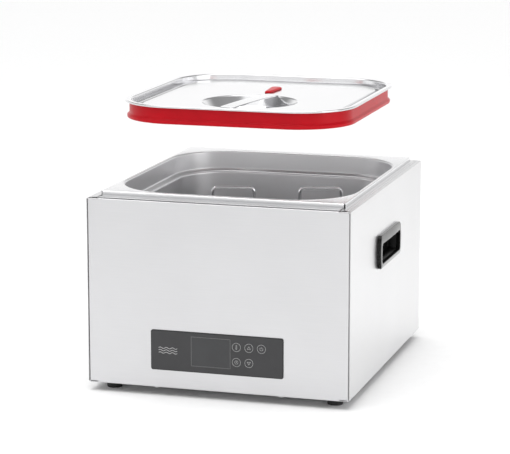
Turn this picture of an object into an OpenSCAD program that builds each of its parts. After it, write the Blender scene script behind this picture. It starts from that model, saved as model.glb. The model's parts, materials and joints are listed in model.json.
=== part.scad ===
// Table-top sous vide water bath with a lift-off lid, a bag rack and a key panel.
// +Z is up, the front faces -Y, and the origin is on the floor under the middle of the body.

/* [Housing] */
// Width of the housing across the front
body_w = 377; // [370:1:400]
// Depth of the housing from front to back
body_d = 431; // [425:1:450]
// Height of the sheet housing without feet and deck
body_h = 262.5; // [250:0.5:290]
// Thickness of the housing sheet
sheet = 1.2; // [0.8:0.1:1.5]
// Height of the rubber feet
foot_h = 12; // [8:0.5:20]
// Largest diameter of a rubber foot
foot_d = 24; // [18:1:30]
// Distance of a foot's centre from the side of the housing
foot_inset_x = 27.5; // [20:0.5:45]
// Distance of a foot's centre from the front or rear of the housing
foot_inset_y = 30; // [20:0.5:45]

/* [Deck and bath] */
// Width of the raised deck
deck_w = 350; // [348:1:356]
// Depth of the raised deck
deck_d = 396; // [386:1:400]
// Middle of the deck behind the middle of the housing
deck_y = 5; // [0:1:8]
// Height of the deck above the housing
deck_rise = 7; // [5:0.5:10]
// Width of the bath mouth
mouth_w = 336; // [332:1:340]
// Depth of the bath mouth from front to back
mouth_d = 368; // [360:1:371]
// Corner radius of the bath mouth
mouth_r = 85; // [82:1:88]
// Distance from the deck down to the ledge in the bath
ledge_drop = 28; // [27:1:34]
// Width of the ledge
ledge_w = 10; // [8:1:14]
// Depth of the bath below the deck
bath_depth = 200; // [180:1:205]
// Thickness of the bath sheet
bath_sheet = 1; // [0.8:0.1:1.2]

/* [Control panel] */
// Width of the panel fascia
fascia_w = 191; // [186:1:220]
// Height of the panel fascia
fascia_h = 57; // [52:0.1:60]
// Centre of the fascia above the lower edge of the housing
fascia_z = 53.9; // [45:0.1:60]
// Thickness of the fascia
fascia_t = 1.3; // [1.2:0.1:2]
// Width of the display window
display_w = 55.8; // [50:0.1:60]
// Height of the display window
display_h = 40.7; // [36:0.1:43]
// Middle of the display from the middle of the fascia
display_x = -8.5; // [-10:0.5:0]
// Radius of a round key
key_r = 6.6; // [6:0.1:7]
// Distance from one key to the next
key_pitch = 17.9; // [17:0.1:19]
// Place of the first key from the middle of the fascia
key_x = 28.6; // [28:0.1:32]
// Distance between the two rows of keys
key_rows = 21.3; // [20:0.1:22]

/* [Side handles] */
// Length of a flush handle
handle_l = 128; // [122:1:150]
// Height of a flush handle
handle_h = 48; // [46:1:56]
// How far a handle stands out of the housing
handle_proud = 7.2; // [6:0.1:9]
// Centre of a handle above the lower edge of the housing
handle_z = 175.5; // [150:0.5:190]
// Centre of a handle behind the middle of the housing
handle_y = 0; // [-10:1:10]
// Depth of the finger pocket
pocket_d = 16; // [12:0.5:16.5]

/* [Lid] */
// Gap between the rim of the lid and the bath mouth
lid_gap = 1.5; // [1.2:0.1:3]
// Thickness of the rim
rim_t = 3; // [2:0.1:4]
// How far the lid is held above its closed place
lid_raise = 122.5; // [60:0.5:160]
// Drop from the rim to the trough
trough_drop = 13; // [10:0.5:14]
// Drop from the rim to the raised panel
panel_drop = 7; // [5:0.5:8]
// Radius of the hand recess
recess_r = 68; // [60:0.5:70]
// Centre of the hand recess in front of the lid's middle
recess_y = -58; // [-60:1:-50]
// Depth of the hand recess under the panel
recess_drop = 17; // [14:0.5:18]
// Height of the whole seal
seal_h = 22.5; // [20:0.5:25]
// Length of the vent plug
plug_l = 55; // [45:1:60]
// Width of the vent plug
plug_w = 17; // [14:0.5:20]

/* [Rack] */
// Width of the rack
rack_w = 210; // [206:1:214]
// Depth of the rack
rack_d = 260; // [250:1:264]
// How far the rack is turned in the bath, in degrees
rack_turn = 14; // [8:1:14]
// Middle of the rack to the right of the middle of the bath
rack_x = 20; // [0:1:20]
// Diameter of the rack's thick wire
wire_d = 5; // [4:0.5:6]
// Width of a rack loop over its wire
loop_w = 67; // [60:1:80]
// Height of the loops' tops above the bath floor
loop_h = 166; // [100:1:166]

/* [Hidden] */

$fn = 64;

// Fits and small standard sizes.
gap = 0.1;
body_gap = 0.35;
flange_side = 17;
flange_front = 28;
fold = 14;

// Places worked out from the sizes above.
base_z = foot_h;
top_z = base_z + body_h;
deck_z = top_z + deck_rise;
front_y = -body_d / 2;
side_x = body_w / 2;
bath_z = deck_z - bath_depth;
ledge_z = deck_z - ledge_drop;
pool_w = mouth_w - 2 * ledge_w;
pool_d = mouth_d - 2 * ledge_w;
pool_r = mouth_r - ledge_w;
lid_w = mouth_w - 2 * lid_gap;
lid_d = mouth_d - 2 * lid_gap;
lid_r = mouth_r - lid_gap;
lid_closed_z = ledge_z + body_gap + seal_h;
lid_z = lid_closed_z + lid_raise;
fascia_cz = base_z + fascia_z;

// Panel parts behind the fascia.
fascia_edge = 1;
fascia_lip = 0.3;
key_gap = 0.25;
key_flange = 0.8;
frame_depth = 8;
board_y = front_y + sheet + frame_depth + 3;
board_t = 1.6;

// Lid levels, measured from the rim's underside, and insets from the rim's edge.
lid_sheet = 1.2;
trough_z = rim_t - trough_drop;
panel_z = rim_t - panel_drop;
skirt_in = 8;
panel_in = 23.5;
seal_wall = 2.5;
lip_in = 2.2;
lip_h = 5;

// ---- Shapes used by several parts ----

module rounded(w, d, r) {
    square([w - 2 * r, d], center = true);
    square([w, d - 2 * r], center = true);
    for (x = [-1, 1], y = [-1, 1])
        translate([x * (w / 2 - r), y * (d / 2 - r)]) circle(r);
}

module slab(w, d, r, z0, z1) {
    translate([0, 0, z0]) linear_extrude(z1 - z0) rounded(w, d, r);
}

// A ring between an outline and the same outline moved inward by t.
module band(w, d, r, t, z0, z1) {
    translate([0, 0, z0]) linear_extrude(z1 - z0) difference() {
        rounded(w, d, r);
        rounded(w - 2 * t, d - 2 * t, r - t);
    }
}

module block(x0, x1, y0, y1, z0, z1) {
    translate([x0, y0, z0]) cube([x1 - x0, y1 - y0, z1 - z0]);
}

module slot_shape(l, w) {
    square([l - w, w], center = true);
    for (s = [-1, 1]) translate([s * (l - w) / 2, 0]) circle(w / 2);
}

// A pan-head screw with its head pointing along +Z and its seat at z = 0.
module screw(d, head_d, head_t, length) {
    difference() {
        union() {
            cylinder(d = head_d, h = head_t);
            translate([0, 0, -length]) cylinder(d = d, h = length + head_t / 2);
        }
        for (turn = [0, 90]) rotate(turn)
            translate([0, 0, head_t]) cube([head_d * 0.55, head_d * 0.13, head_t], center = true);
    }
}

// A lead of round section between two points.
module lead_run(from, to, d) {
    hull() {
        translate(from) sphere(d = d, $fn = 10);
        translate(to) sphere(d = d, $fn = 10);
    }
}

// Turns a front-view drawing into a plate: x stays x, y becomes height, thickness runs along +Y.
module front_plate(y0, t) {
    translate([0, y0 + t, 0]) rotate([90, 0, 0]) linear_extrude(t) children();
}

// Corners of a rectangle centred on the axis.
function corners(x, y) = [[-x, -y], [x, -y], [-x, y], [x, y]];

// ---- Housing ----

base_screw_x = 90;
base_screw_y = 207.5;
base_screw_side_x = 181;
base_screw_side_y = 110;
rear_screw_x = 176;

module front_panel() {
    w = body_w - 2 * sheet - 2 * gap;
    color("gainsboro") {
        difference() {
            block(-w / 2, w / 2, front_y, front_y + sheet, base_z, top_z);
            front_plate(front_y - 1, sheet + 2) translate([0, fascia_cz]) rounded(176, 46, 3);
        }
        block(-side_x + flange_side + gap, side_x - flange_side - gap, front_y + sheet,
            front_y + flange_front, top_z - sheet, top_z);
        difference() {
            block(-side_x + fold + 2, side_x - fold - 2, front_y + sheet, front_y + fold,
                base_z + sheet + gap, base_z + 2 * sheet + gap);
            for (x = [-1, 1]) translate([x * base_screw_x, -base_screw_y, base_z])
                cylinder(d = 3.2, h = 10);
        }
    }
}

module side_panel(side) {
    opening_l = 124;
    opening_h = 37;
    inner_y = body_d / 2 - sheet - gap;
    color("gainsboro") difference() {
        union() {
            block_side(side, side_x - sheet, side_x, -body_d / 2, body_d / 2, base_z, top_z);
            block_side(side, side_x - flange_side, side_x - sheet, -inner_y, inner_y,
                top_z - sheet, top_z);
            block_side(side, side_x - fold, side_x - sheet, -inner_y + fold, inner_y - fold,
                base_z + sheet + gap, base_z + 2 * sheet + gap);
        }
        block_side(side, side_x - 5, side_x + 1, handle_y - opening_l / 2, handle_y + opening_l / 2,
            base_z + handle_z + handle_open_z - opening_h / 2,
            base_z + handle_z + handle_open_z + opening_h / 2);
        for (y = [-1, 1])
            translate([side * base_screw_side_x, y * base_screw_side_y, base_z])
                cylinder(d = 3.2, h = 10);
    }
}

// A block given for the right-hand side, drawn on the side asked for.
module block_side(side, x0, x1, y0, y1, z0, z1) {
    block(side > 0 ? x0 : -x1, side > 0 ? x1 : -x0, y0, y1, z0, z1);
}

module left_panel() { side_panel(-1); }
module right_panel() { side_panel(1); }

inlet_x = 110;
inlet_z = 48;
inlet_hole_w = 27.5;
inlet_hole_h = 31;
inlet_seat = 0.4;

module rear_panel() {
    w = body_w - 2 * sheet - 2 * gap;
    vent_rows = 7;
    vent_pitch = 9;
    vent_l = 70;
    color("gainsboro") {
        difference() {
            block(-w / 2, w / 2, body_d / 2 - sheet, body_d / 2, base_z, top_z);
            front_plate(body_d / 2 - sheet - 1, sheet + 2) {
                translate([inlet_x, base_z + inlet_z]) square([inlet_hole_w, inlet_hole_h], center = true);
                for (row = [0 : vent_rows - 1], x = [-1, 1])
                    translate([x * 50 - 30, base_z + 30 + row * vent_pitch]) slot_shape(vent_l, 3.5);
            }
            for (x = [-1, 1], z = [30, 130, 230])
                translate([x * rear_screw_x, body_d / 2 + 1, base_z + z]) rotate([90, 0, 0])
                    cylinder(d = 3.2, h = sheet + 2);
            for (x = [-1, 1]) translate([inlet_x + x * 20, body_d / 2 + 1, base_z + inlet_z])
                rotate([90, 0, 0]) cylinder(d = 3.2, h = sheet + 2);
        }
        block(-side_x + flange_side + gap, side_x - flange_side - gap, body_d / 2 - flange_front,
            body_d / 2 - sheet, top_z - sheet, top_z);
    }
}

module base_plate() {
    vent_rows = 9;
    vent_pitch = 12;
    w = body_w - 2 * sheet - 2 * gap;
    d = body_d - 2 * sheet - 2 * gap;
    color("silver") difference() {
        block(-w / 2, w / 2, -d / 2, d / 2, base_z, base_z + sheet);
        for (row = [0 : vent_rows - 1], x = [-80, 80])
            translate([x, (row - 4) * vent_pitch, base_z - 1]) linear_extrude(sheet + 2)
                slot_shape(80, 4);
        for (c = corners(side_x - foot_inset_x, body_d / 2 - foot_inset_y))
            translate([c[0], c[1], base_z - 1]) cylinder(d = 5, h = sheet + 2);
        for (c = concat(corners(base_screw_x, base_screw_y),
                corners(base_screw_side_x, base_screw_side_y)))
            translate([c[0], c[1], base_z - 1]) cylinder(d = 3.6, h = sheet + 2);
    }
}

module deck() {
    notch = 2.5;
    y0 = deck_y - deck_d / 2;
    y1 = deck_y + deck_d / 2;
    color("gainsboro") difference() {
        union() {
            block(-deck_w / 2, deck_w / 2, y0, y1, deck_z - sheet, deck_z);
            for (x = [-deck_w / 2, deck_w / 2 - sheet])
                block(x, x + sheet, y0 + notch, y1 - notch, top_z, deck_z - sheet);
            for (y = [y0, y1 - sheet])
                block(-deck_w / 2 + notch, deck_w / 2 - notch, y, y + sheet, top_z, deck_z - sheet);
        }
        slab(mouth_w, mouth_d, mouth_r, deck_z - sheet - 1, deck_z + 1);
    }
}

module tank() {
    t = bath_sheet;
    top = deck_z - sheet;
    color("silver") {
        // Flange that hangs under the deck, and the wall down to the ledge.
        difference() {
            slab(mouth_w + 5, mouth_d + 5, mouth_r + 2.5, top - t, top);
            slab(mouth_w, mouth_d, mouth_r, top - t - 1, top + 1);
        }
        band(mouth_w + 2 * t, mouth_d + 2 * t, mouth_r + t, t, ledge_z - t, top);
        // Ledge and the pool under it.
        band(mouth_w + t, mouth_d + t, mouth_r + t / 2, ledge_w + t / 2, ledge_z - t, ledge_z);
        band(pool_w + 2 * t, pool_d + 2 * t, pool_r + t, t, bath_z, ledge_z);
        slab(pool_w + 2 * t, pool_d + 2 * t, pool_r + t, bath_z - t, bath_z);
    }
}

module insulation() {
    window_w = 120;
    window_h = 60;
    color("lightyellow") difference() {
        band(mouth_w - 1, mouth_d - 1, mouth_r - 0.5, ledge_w - bath_sheet - 1, bath_z + 6,
            ledge_z - bath_sheet - 1);
        block(-window_w / 2, window_w / 2, -mouth_d / 2 - 1, -mouth_d / 2 + ledge_w + 5, bath_z,
            bath_z + window_h);
    }
}

// ---- Heating under the bath ----

plate_t = 3;
heater_d = 8;
heater_w = 240;
heater_pitch = 48;
heater_runs = 6;
heater_z = bath_z - bath_sheet - plate_t - heater_d / 2 - gap;

module heater_plate() {
    color("lightgray") slab(270, 300, 30, bath_z - bath_sheet - plate_t, bath_z - bath_sheet);
}

module heater_element() {
    half = (heater_runs - 1) / 2;
    color("dimgray") translate([0, 0, heater_z]) {
        for (i = [0 : heater_runs - 1])
            translate([-heater_w / 2 + heater_pitch / 2, (i - half) * heater_pitch, 0])
                rotate([0, 90, 0]) cylinder(d = heater_d, h = heater_w - heater_pitch);
        for (i = [0 : heater_runs - 2]) {
            side = i % 2 == 0 ? 1 : -1;
            translate([side * (heater_w - heater_pitch) / 2, (i - half + 0.5) * heater_pitch, 0])
                rotate([0, 0, side > 0 ? -90 : 90])
                    rotate_extrude(angle = 180) translate([heater_pitch / 2, 0]) circle(d = heater_d);
        }
    }
}

module heater_clamps() {
    color("silver") for (x = [-70, 70]) {
        z1 = heater_z - heater_d / 2 - gap;
        block(x - 6, x + 6, -135, 135, z1 - 1.5, z1);
        for (y = [-140, 140]) block(x - 6, x + 6, y - 5, y + 5, z1 - 1.5, bath_z - bath_sheet - plate_t);
    }
}

sensor_x = 40;
sensor_z = bath_z + 30;
sensor_y = -pool_d / 2 - bath_sheet;

module sensor_clip() {
    color("silver") {
        block(sensor_x - 14, sensor_x + 14, sensor_y - 1, sensor_y, sensor_z - 6, sensor_z + 6);
        block(sensor_x - 6, sensor_x + 6, sensor_y - 8, sensor_y - 7, sensor_z - 5, sensor_z + 5);
        for (x = [-1, 1]) block(sensor_x + x * 5.5 - 0.5, sensor_x + x * 5.5 + 0.5, sensor_y - 7,
            sensor_y - 1, sensor_z - 5, sensor_z + 5);
    }
}

module temp_sensor() {
    color("gray") translate([sensor_x, sensor_y - 4, sensor_z - 16]) {
        cylinder(d = 5.9, h = 34);
        translate([0, 0, -8]) cylinder(d = 3.5, h = 8);
    }
}

module thermal_cutout() {
    color("tan") translate([-40, sensor_y, bath_z + 22]) rotate([90, 0, 0]) {
        cylinder(d = 16, h = 7);
        translate([-12, -4, 0]) cube([24, 8, 1]);
        for (x = [-4, 4]) translate([x - 0.4, -3, 6]) cube([0.8, 6, 8]);
    }
}

// ---- Control panel ----

display_cz = fascia_cz + 1.3;
key_upper = fascia_cz + 11.7;
key_lower = key_upper - key_rows;
key_places = [
    [key_x, key_upper], [key_x + key_pitch, key_upper], [key_x + 2 * key_pitch, key_upper],
    [key_x, key_lower], [key_x + key_pitch, key_lower]];

module fascia() {
    color("dimgray") difference() {
        union() {
            front_plate(front_y - fascia_t, fascia_t)
                translate([0, fascia_cz]) rounded(fascia_w, fascia_h, 3);
            front_plate(front_y - fascia_t - fascia_lip, fascia_lip + 0.1)
                translate([0, fascia_cz]) difference() {
                    rounded(fascia_w, fascia_h, 3);
                    rounded(fascia_w - 2 * fascia_edge, fascia_h - 2 * fascia_edge, 2);
                }
        }
        front_plate(front_y - fascia_t - 1, fascia_t + 2)
            translate([display_x, display_cz]) square([display_w, display_h], center = true);
        for (p = key_places) translate([p[0], front_y + 1, p[1]]) rotate([90, 0, 0])
            cylinder(r = key_r + key_gap, h = fascia_t + 2);
    }
}

module display_window() {
    color("#303438") front_plate(front_y - fascia_t, fascia_t)
        translate([display_x, display_cz])
            square([display_w - 2 * gap, display_h - 2 * gap], center = true);
}

module key_frame() {
    color("black") difference() {
        block(-87, 87, front_y + gap, front_y + sheet + frame_depth, fascia_cz - 22, fascia_cz + 22);
        block(display_x - display_w / 2 + 3, display_x + display_w / 2 - 3, front_y - 1,
            front_y + 20, display_cz - display_h / 2 + 3, display_cz + display_h / 2 - 3);
        block(-84, -42, front_y + 3, front_y + 20, fascia_cz - 19, fascia_cz + 19);
        for (p = key_places) translate([p[0], front_y + 20, p[1]]) rotate([90, 0, 0])
            cylinder(r = key_r + key_flange + body_gap, h = 25);
    }
}

module display_module() {
    color("#202020") block(display_x - 24, display_x + 24, front_y + 1.5, board_y,
        display_cz - 16, display_cz + 16);
}

module control_board() {
    color("darkgreen") {
        block(-86, 86, board_y, board_y + board_t, fascia_cz - 21, fascia_cz + 21);
        block(-78, -62, board_y + board_t, board_y + board_t + 8, fascia_cz - 14, fascia_cz + 4);
        block(-50, -38, board_y + board_t, board_y + board_t + 2, fascia_cz - 6, fascia_cz + 6);
        for (x = [-10, 6]) translate([x, board_y + board_t, fascia_cz + 12]) rotate([-90, 0, 0])
            cylinder(d = 8, h = 9);
    }
}

module key_switches() {
    depth = 3.5;
    color("#404040") for (p = key_places) {
        block(p[0] - 3, p[0] + 3, board_y - depth, board_y, p[1] - 3, p[1] + 3);
        translate([p[0], board_y - depth, p[1]]) rotate([90, 0, 0]) cylinder(d = 3.2, h = 0.8);
    }
}

module key(i) {
    p = key_places[i];
    stem_end = board_y - 3.5 - 0.8 - 0.75;
    back = front_y + 0.4;
    color("#4a4a4a") translate([p[0], 0, p[1]]) rotate([-90, 0, 0]) {
        translate([0, 0, front_y - fascia_t]) cylinder(r = key_r, h = fascia_t + 1.6);
        translate([0, 0, back]) cylinder(r = key_r + key_flange, h = 1.2);
        translate([0, 0, back]) cylinder(r = 2, h = stem_end - back);
    }
}

module key_probe() { key(0); }
module key_up() { key(1); }
module key_power() { key(2); }
module key_timer() { key(3); }
module key_down() { key(4); }

// ---- Power electronics on the base plate ----

power_x = -95;
power_y = 150;
power_z = base_z + sheet + 8;

module power_board() {
    color("darkgreen") {
        block(power_x - 60, power_x + 60, power_y - 40, power_y + 40, power_z, power_z + board_t);
        block(power_x + 30, power_x + 54, power_y - 36, power_y - 26, power_z + board_t,
            power_z + 14);
        for (x = [-50, -36]) translate([power_x + x, power_y + 26, power_z + board_t])
            cylinder(d = 11, h = 16);
    }
}

module power_relay() {
    color("#e8e8e0") block(power_x + 5, power_x + 35, power_y + 4, power_y + 19, power_z + board_t,
        power_z + board_t + 20);
}

module transformer() {
    color("goldenrod") {
        block(power_x - 50, power_x - 12, power_y - 30, power_y + 2, power_z + board_t,
            power_z + board_t + 26);
        block(power_x - 44, power_x - 18, power_y - 34, power_y + 6, power_z + board_t + 4,
            power_z + board_t + 22);
    }
}

module board_standoffs() {
    color("white") for (c = corners(54, 34)) translate([power_x + c[0], power_y + c[1], base_z + sheet])
        cylinder(d = 7, h = power_z - base_z - sheet);
}

module wiring() {
    d = 5;
    low = sheet + 4;
    heater = heater_z - base_z;
    // Heights are above the base. Each run lists its points in the order the lead passes them.
    leads = [
        [[-70, -190, 50], [-70, -188, low], [-150, -150, low], [-150, 100, low], [-120, 106, low]],
        [[-58, 106, low], [40, 100, low], [110, 140, low], [110, 180, low], [110, 187, 44]],
        [[40, -181, 68], [40, -190, 54], [0, -190, 40]],
        [[-101, 120, heater], [-125, 106, 48], [-125, 104, 12]],
        [[-101, -120, heater], [-125, -110, 48], [-135, 95, 12]]];
    color("firebrick") translate([0, 0, base_z]) for (lead = leads, i = [0 : len(lead) - 2])
        lead_run(lead[i], lead[i + 1], d);
}

module power_inlet() {
    color("#151515") translate([inlet_x, 0, base_z + inlet_z]) difference() {
        union() {
            front_plate(body_d / 2, fascia_t + fascia_lip) union() {
                rounded(50, 24, 5);
                rounded(30, 34, 4);
            }
            block(-13.5, 13.5, body_d / 2 - 24, body_d / 2, -15, 15);
        }
        block(-12, 12, body_d / 2 - 17, body_d / 2 + 5, -8, 8);
        for (x = [-20, 20]) translate([x, body_d / 2 + 5, 0]) rotate([90, 0, 0]) {
            cylinder(d = 3.4, h = 10);
            cylinder(d = 5.8, h = 5 - inlet_seat);
        }
    }
    color("silver") for (pin = [[-7, -2], [7, -2], [0, 3]])
        translate([inlet_x, 0, base_z + inlet_z])
            block(pin[0] - 1, pin[0] + 1, body_d / 2 - 18, body_d / 2 - 3, pin[1] - 2, pin[1] + 2);
}

module inlet_screws() {
    color("silver") for (x = [-20, 20])
        translate([inlet_x + x, body_d / 2 + inlet_seat, base_z + inlet_z]) rotate([-90, 0, 0])
            screw(3, 5.4, 1.1, 9);
}

// ---- Side handles ----

handle_open_l = 110;
handle_open_h = 29;
handle_open_z = -2.2;
handle_arch = 1.5;
handle_bow = 5;
handle_crown = 3.2;
handle_flat = 0.8;
cup_wall = 1.5;

// Drawn for the right-hand side in place, seen with +Y to the right and +Z up.
module handle_plate(x0, x1) {
    translate([x0, handle_y, base_z + handle_z]) rotate([90, 0, 90]) linear_extrude(x1 - x0)
        children();
}

// Plan of the bezel: flat against the housing and gently arched outside.
function arch_x(y) = handle_proud - handle_arch * pow(2 * y / handle_l, 2);

// Profile of the bezel: it thins toward its upper and lower edges.
function crown_x(z) = handle_proud + handle_flat - handle_crown * pow(2 * z / handle_h, 2);

// Outline of the bezel: both ends bow outward.
function end_y(z) = handle_l / 2 - handle_bow * pow(2 * z / handle_h, 2);

module bezel_outline() {
    steps = 10;
    heights = [for (i = [0 : steps]) handle_h * (i / steps - 0.5)];
    intersection() {
        rounded(handle_l + 2, handle_h, 8);
        polygon(concat(
            [for (z = heights) [end_y(z), z]],
            [for (i = [steps : -1 : 0]) [-end_y(heights[i]), heights[i]]]));
    }
}

module bezel_crown() {
    steps = 10;
    reach = handle_h + 4;
    heights = [for (i = [0 : steps]) reach * (i / steps - 0.5)];
    translate([side_x, handle_y + handle_l / 2 + 1, base_z + handle_z]) rotate([90, 0, 0])
        linear_extrude(handle_l + 2)
            polygon(concat([[-1, -reach / 2]], [for (z = heights) [crown_x(z), z]], [[-1, reach / 2]]));
}

module handle_bezel_right() {
    steps = 12;
    arch = [for (i = [0 : steps]) let (y = handle_l * (i / steps - 0.5)) [arch_x(y), y]];
    color("#181818") difference() {
        intersection() {
            handle_plate(side_x, side_x + handle_proud + 1) bezel_outline();
            bezel_crown();
            translate([side_x, handle_y, base_z]) linear_extrude(body_h)
                polygon(concat([[0, -handle_l / 2]], arch, [[0, handle_l / 2]]));
        }
        handle_plate(side_x - 1, side_x + 20) translate([0, handle_open_z])
            rounded(handle_open_l, handle_open_h, 6);
    }
}

module handle_cup_right() {
    l = handle_open_l + 2 * cup_wall;
    h = handle_open_h + 2 * cup_wall;
    color("#101010") difference() {
        handle_plate(side_x - pocket_d, side_x) translate([0, handle_open_z]) rounded(l, h, 7);
        handle_plate(side_x - pocket_d + cup_wall, side_x + 1) translate([0, handle_open_z])
            rounded(handle_open_l, handle_open_h, 5.5);
    }
}

module handle_bezel_left() { mirror([1, 0, 0]) handle_bezel_right(); }
module handle_cup_left() { mirror([1, 0, 0]) handle_cup_right(); }

// ---- Feet and fasteners ----

foot_floor = 4;

module foot(x, y) {
    color("#202020") translate([x * (side_x - foot_inset_x), y * (body_d / 2 - foot_inset_y), 0])
        difference() {
            cylinder(d1 = foot_d - 3, d2 = foot_d, h = foot_h);
            translate([0, 0, -1]) cylinder(d = 11, h = foot_h - foot_floor + 1);
            cylinder(d = 5, h = foot_h + 1);
        }
}

module foot_front_left() { foot(-1, -1); }
module foot_front_right() { foot(1, -1); }
module foot_rear_left() { foot(-1, 1); }
module foot_rear_right() { foot(1, 1); }

module foot_screws() {
    color("silver") for (c = corners(side_x - foot_inset_x, body_d / 2 - foot_inset_y)) {
        translate([c[0], c[1], foot_h - foot_floor]) rotate([180, 0, 0]) screw(4.8, 9, 3, 12);
    }
}

module base_screws() {
    color("silver") for (c = concat(corners(base_screw_x, base_screw_y),
            corners(base_screw_side_x, base_screw_side_y)))
        translate([c[0], c[1], base_z]) rotate([180, 0, 0]) screw(3.1, 7, 2, 7);
}

module rear_screws() {
    color("silver") for (x = [-1, 1], z = [30, 130, 230])
        translate([x * rear_screw_x, body_d / 2, base_z + z]) rotate([-90, 0, 0])
            screw(3.1, 6.4, 1.5, 7);
}

module earth_stud() {
    color("goldenrod") translate([150, 150, base_z + sheet]) {
        cylinder(d = 4, h = 16);
        translate([0, 0, 5]) cylinder(d = 8, h = 3.2, $fn = 6);
    }
}

// ---- Bag rack ----

rack_z = bath_z + body_gap;
cross_d = 3;
cross_count = 9;
bend_r = 7.5;
loop_x = 65;
loop_y = 93;

module rack_grid() {
    x = rack_w / 2 - wire_d / 2;
    y = rack_d / 2 - wire_d / 2;
    c = 12;
    color("silver") translate([rack_x, 0, rack_z + wire_d / 2]) rotate(rack_turn) {
        for (s = [-1, 1]) {
            translate([s * x, -y + c, 0]) rotate([-90, 0, 0]) cylinder(d = wire_d, h = 2 * (y - c));
            translate([-x + c, s * y, 0]) rotate([0, 90, 0]) cylinder(d = wire_d, h = 2 * (x - c));
        }
        for (q = [[1, 1, 0], [-1, 1, 90], [-1, -1, 180], [1, -1, 270]])
            translate([q[0] * (x - c), q[1] * (y - c), 0]) rotate(q[2])
                rotate_extrude(angle = 90) translate([c, 0]) circle(d = wire_d);
        for (i = [0 : cross_count - 1])
            translate([-x + 2 * x * (i + 0.5) / cross_count, -y, wire_d / 2 + 0.5])
                rotate([-90, 0, 0]) cylinder(d = cross_d, h = 2 * y);
        for (s = [-1, 1]) translate([-x, s * loop_y, 0]) rotate([0, 90, 0])
            cylinder(d = wire_d, h = 2 * x);
    }
}

module rack_loop(x, y) {
    w = loop_w - wire_d;
    foot = wire_d;
    top = loop_h - body_gap - wire_d / 2;
    color("silver") translate([rack_x, 0, rack_z]) rotate(rack_turn)
            translate([x * loop_x, y * loop_y, 0]) {
        for (s = [-1, 1]) {
            translate([s * w / 2, 0, foot]) cylinder(d = wire_d, h = top - bend_r - foot);
            translate([s * (w / 2 - bend_r), 0, top - bend_r]) rotate([90, 0, 0])
                mirror([s < 0 ? 1 : 0, 0, 0]) rotate_extrude(angle = 90)
                    translate([bend_r, 0]) circle(d = wire_d);
        }
        translate([-w / 2 + bend_r, 0, top]) rotate([0, 90, 0])
            cylinder(d = wire_d, h = w - 2 * bend_r);
    }
}

module rack_loop_rear_left() { rack_loop(-1, 1); }
module rack_loop_rear_right() { rack_loop(1, 1); }
module rack_loop_front_left() { rack_loop(-1, -1); }
module rack_loop_front_right() { rack_loop(1, -1); }

// ---- Lid, drawn at its raised place ----

plug_y = 57;
plug_t = 3;
plug_tip_r = 4.5;
slot_l = 44;
slot_w = 9;

module lid_shell() {
    t = lid_sheet;
    skirt_w = lid_w - 2 * skirt_in;
    skirt_d = lid_d - 2 * skirt_in;
    skirt_r = lid_r - skirt_in;
    panel_w = lid_w - 2 * panel_in;
    panel_d = lid_d - 2 * panel_in;
    panel_r = lid_r - panel_in;
    color("gainsboro") translate([0, 0, lid_z]) {
        band(lid_w, lid_d, lid_r, skirt_in + t, rim_t - t, rim_t);
        band(lid_w, lid_d, lid_r, t, 0, rim_t - t);
        band(skirt_w, skirt_d, skirt_r, t, trough_z - t, rim_t - t);
        band(skirt_w, skirt_d, skirt_r, panel_in - skirt_in + t, trough_z - t, trough_z);
        band(panel_w, panel_d, panel_r, t, trough_z - t, panel_z);
        difference() {
            slab(panel_w, panel_d, panel_r, panel_z - t, panel_z);
            translate([0, recess_y, panel_z - 5]) cylinder(r = recess_r - t, h = 10);
            translate([0, plug_y, panel_z - 5]) rotate(90) linear_extrude(10)
                slot_shape(slot_l, slot_w);
        }
        translate([0, recess_y, 0]) rotate_extrude() polygon([
            [recess_r - t, panel_z], [recess_r, panel_z], [recess_r, panel_z - t],
            [recess_r - 9, panel_z - recess_drop - t], [0, panel_z - recess_drop - t],
            [0, panel_z - recess_drop], [recess_r - 9 - t, panel_z - recess_drop]]);
    }
}

module lid_strap() {
    strap_t = 1.5;
    strap_w = 22;
    strap_l = 2 * recess_r + 14;
    color("gainsboro") translate([0, recess_y, lid_z + panel_z]) rotate(-10)
        difference() {
            translate([-strap_w / 2, -strap_l / 2, 0]) cube([strap_w, strap_l, strap_t]);
            for (x = [-1, 1], y = [-1, 1]) translate([x * strap_w / 2, y * strap_l / 2, strap_t / 2])
                rotate(45) cube([5, 5, 2 * strap_t], center = true);
        }
}

module lid_seal() {
    wall_in = skirt_in - seal_wall;
    color("crimson") translate([0, 0, lid_z]) {
        band(lid_w - 2 * wall_in, lid_d - 2 * wall_in, lid_r - wall_in, seal_wall, -seal_h + lip_h, 0);
        band(lid_w - 2 * lip_in, lid_d - 2 * lip_in, lid_r - lip_in, skirt_in - lip_in,
            -seal_h, -seal_h + lip_h);
    }
}

// A slot that is wide at its rear and tapers towards the front. Its flanks start a little inside
// the two circles, so that they cross them at a clear angle.
module tapered_slot(l, big_r, small_r) {
    inside = 0.15;
    big = l / 2 - big_r;
    small = small_r - l / 2;
    translate([big, 0]) circle(big_r);
    translate([small, 0]) circle(small_r);
    polygon([
        [big, big_r - inside], [small, small_r - inside],
        [small, inside - small_r], [big, inside - big_r]]);
}

module lid_plug() {
    color("crimson") translate([0, plug_y, lid_z + panel_z + gap]) rotate(90) {
        linear_extrude(plug_t) tapered_slot(plug_l, plug_w / 2, plug_tip_r + body_gap);
        translate([0, 0, -7]) linear_extrude(8)
            slot_shape(slot_l - 2 * body_gap, slot_w - 2 * body_gap);
    }
}

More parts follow.
